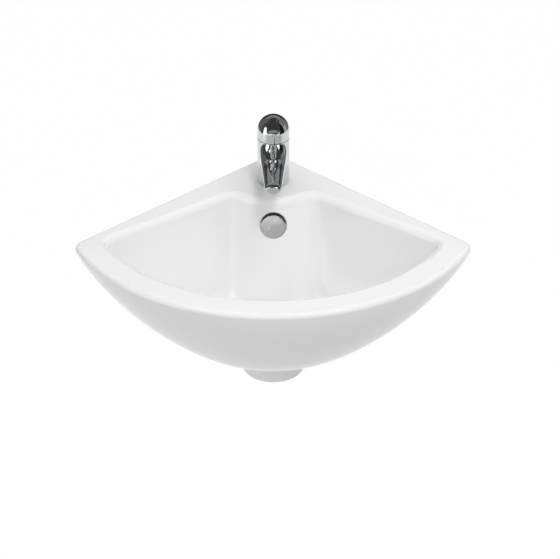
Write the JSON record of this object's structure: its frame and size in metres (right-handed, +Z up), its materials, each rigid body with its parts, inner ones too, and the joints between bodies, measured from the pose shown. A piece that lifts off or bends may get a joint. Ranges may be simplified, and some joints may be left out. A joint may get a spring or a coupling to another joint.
{
  "type": "corner basin",
  "caption": "Wall-hung ceramic corner hand basin with a quarter-round bowl, a single-lever mixer tap, an overflow cap and a push-plug waste.",
  "frame": {"origin": "the upright line where the two walls meet, level with the top of the basin's deck", "axes": "+Z up, +Y into the corner between the walls, +X to the right of someone facing the basin; the walls lie 45 degrees each side of the Y axis"},
  "size_m": [0.4541, 0.3799, 0.2695],
  "materials": {
    "glaze": "white gloss glaze over vitreous china",
    "chrome": "bright chrome plate over brass",
    "brass": "bare turned brass",
    "steel": "zinc-plated or stainless steel",
    "rubber": "matt black rubber",
    "plastic": "white moulded plastic",
    "disc_ceramic": "lapped alumina"
  },
  "bodies": {
    "fixed": {"aerator_housing": "chrome", "aerator_insert": "plastic", "aerator_washer": "rubber", "basin_body": "glaze", "cartridge_housing": "plastic", "cartridge_nut": "brass", "cartridge_seal": "rubber", "fixed_disc": "disc_ceramic", "overflow_cap": "chrome", "overflow_grommet": "rubber", "plug_guide": "plastic", "plug_spring": "steel", "tap_base_gasket": "rubber", "tap_body": "chrome", "tap_collar": "chrome", "tap_fixing_gasket": "rubber", "tap_fixing_plate": "brass", "tap_stud": "steel", "tap_stud_nut": "steel", "waste_backnut": "brass", "waste_body": "chrome", "waste_flange_seal": "rubber", "waste_gasket": "rubber", "waste_slip_washer": "plastic"},
    "carrier": {"lever_carrier": "plastic", "stem_pin": "steel"},
    "handle": {"lever_stem": "brass", "tap_handle": "chrome", "handle_screw": "steel", "handle_plug": "chrome"},
    "disc": {"moving_disc": "disc_ceramic"},
    "plug": {"plug_cap": "chrome", "plug_seal": "rubber", "plug_spindle": "brass"}
  },
  "joints": [
    {"name": "lever_turn", "type": "hinge", "parent": "fixed", "child": "carrier", "pos_m": [0, -0.078, 0.05], "axis": [0, 0, 1], "range_deg": [-45, 45]},
    {"name": "lever_lift", "type": "hinge", "parent": "carrier", "child": "handle", "pos_m": [0, -0.078, 0.05], "axis": [-1, 0, 0], "range_deg": [0, 20]},
    {"name": "disc_slide", "type": "slide", "parent": "carrier", "child": "disc", "axis": [0, -1, 0], "range_m": [0, 0.0028]},
    {"name": "plug_press", "type": "slide", "parent": "fixed", "child": "plug", "axis": [0, 0, -1], "range_m": [0, 0.007], "stiffness_N_per_m": 400, "springref_m": -0.004, "deforming": ["plug_spring"]}
  ],
  "couplings": [
    {"joint": "disc_slide", "follows": "lever_lift", "m_per_rad": 0.008}
  ]
}
